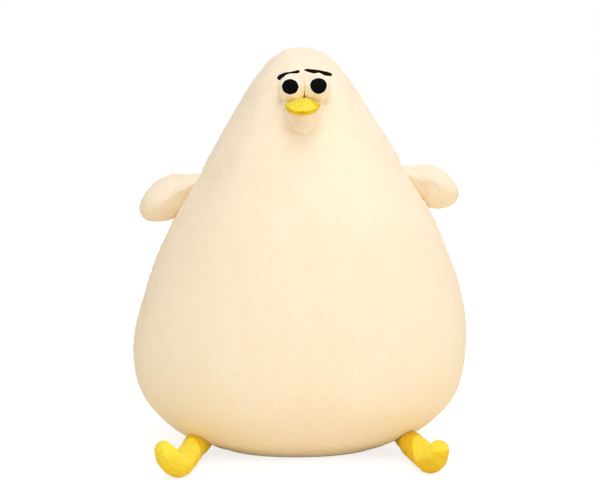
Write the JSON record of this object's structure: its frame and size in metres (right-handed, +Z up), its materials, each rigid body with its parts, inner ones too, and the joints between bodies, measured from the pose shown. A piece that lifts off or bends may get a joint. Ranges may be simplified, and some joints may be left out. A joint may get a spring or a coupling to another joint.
{
  "type": "plush seagull pillow",
  "caption": "Fibre-stuffed sitting seagull pillow with a flat base, ball eyes, padded beak, and flippers and legs that swing on their seams.",
  "frame": {"origin": "middle of the flat face of the base panel that the bird sits on", "axes": "+Z up through the crown; -Y is the way the bird faces; +X is the bird's own left"},
  "size_m": [0.376, 0.2656, 0.45],
  "materials": {
    "cream_plush": "short cream pile",
    "yellow_plush": "short yellow pile",
    "black_felt": "matt black felt",
    "white_felt": "matt white felt",
    "fibre_fill": "loose polyester fibre"
  },
  "bodies": {
    "body": {"body_front_panel": "cream_plush", "body_back_left_panel": "cream_plush", "body_back_right_panel": "cream_plush", "body_base_panel": "cream_plush", "body_fill": "fibre_fill", "muzzle_cover": "cream_plush", "muzzle_fill": "fibre_fill", "beak_upper_panel": "yellow_plush", "beak_lower_panel": "yellow_plush", "beak_fill": "fibre_fill", "brow_left": "black_felt", "brow_right": "black_felt", "eye_left_cover": "cream_plush", "eye_left_fill": "fibre_fill", "eye_left_rim": "white_felt", "eye_left_pupil": "black_felt", "eye_right_cover": "cream_plush", "eye_right_fill": "fibre_fill", "eye_right_rim": "white_felt", "eye_right_pupil": "black_felt"},
    "wing_left": {"wing_left_outer_panel": "cream_plush", "wing_left_inner_panel": "cream_plush", "wing_left_fill": "fibre_fill"},
    "wing_right": {"wing_right_outer_panel": "cream_plush", "wing_right_inner_panel": "cream_plush", "wing_right_fill": "fibre_fill"},
    "leg_left": {"leg_left_outer_panel": "yellow_plush", "leg_left_inner_panel": "yellow_plush", "leg_left_fill": "fibre_fill"},
    "leg_right": {"leg_right_outer_panel": "yellow_plush", "leg_right_inner_panel": "yellow_plush", "leg_right_fill": "fibre_fill"}
  },
  "joints": [
    {"name": "wing_left_swing", "type": "hinge", "parent": "body", "child": "wing_left", "pos_m": [0.1185, 0.005, 0.308], "axis": [0, -1, 0], "range_deg": [0, 60], "stiffness_Nm_per_rad": 0.05},
    {"name": "wing_right_swing", "type": "hinge", "parent": "body", "child": "wing_right", "pos_m": [-0.11621, 0.005, 0.3], "axis": [0, 1, 0], "range_deg": [0, 60], "stiffness_Nm_per_rad": 0.05},
    {"name": "leg_left_swing", "type": "hinge", "parent": "body", "child": "leg_left", "pos_m": [0.1135, -0.04732, 0.0183], "axis": [-0.9732, -0.23, 0], "range_deg": [-40, 5], "stiffness_Nm_per_rad": 0.03},
    {"name": "leg_right_swing", "type": "hinge", "parent": "body", "child": "leg_right", "pos_m": [-0.1135, -0.04732, 0.0183], "axis": [-0.9732, 0.23, 0], "range_deg": [-40, 5], "stiffness_Nm_per_rad": 0.03}
  ]
}
